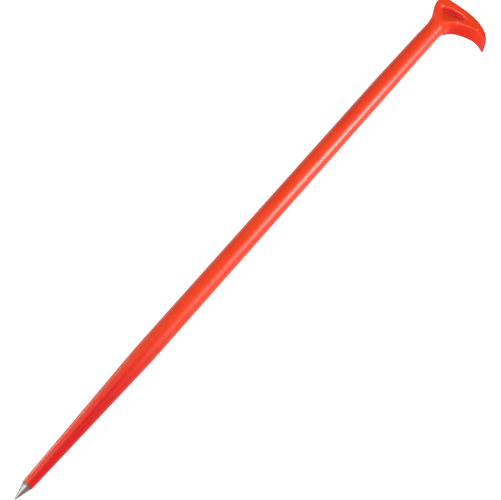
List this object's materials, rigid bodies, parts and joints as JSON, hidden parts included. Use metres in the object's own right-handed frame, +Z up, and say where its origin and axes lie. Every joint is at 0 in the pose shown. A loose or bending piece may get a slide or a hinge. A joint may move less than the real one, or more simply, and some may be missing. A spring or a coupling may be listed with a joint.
{
  "type": "rolling head pry bar",
  "caption": "Round steel pry bar with a ground point at one end and a rolling heel-and-claw head at the other, under red enamel.",
  "frame": {"origin": "centre of the bounding box's base, on the surface that the bar lies on", "axes": "+X along the shank from the point to the rolling head, claw towards -Y and heel towards +Y, +Z up through the head's flat side"},
  "size_m": [0.508, 0.0526, 0.0165],
  "materials": {
    "bare_steel": "ground bright, fine lines round the point",
    "red_enamel": "glossy orange-red enamel"
  },
  "bodies": {
    "root": {"forged_bar": "bare_steel", "paint_coat": "red_enamel"}
  },
  "joints": []
}
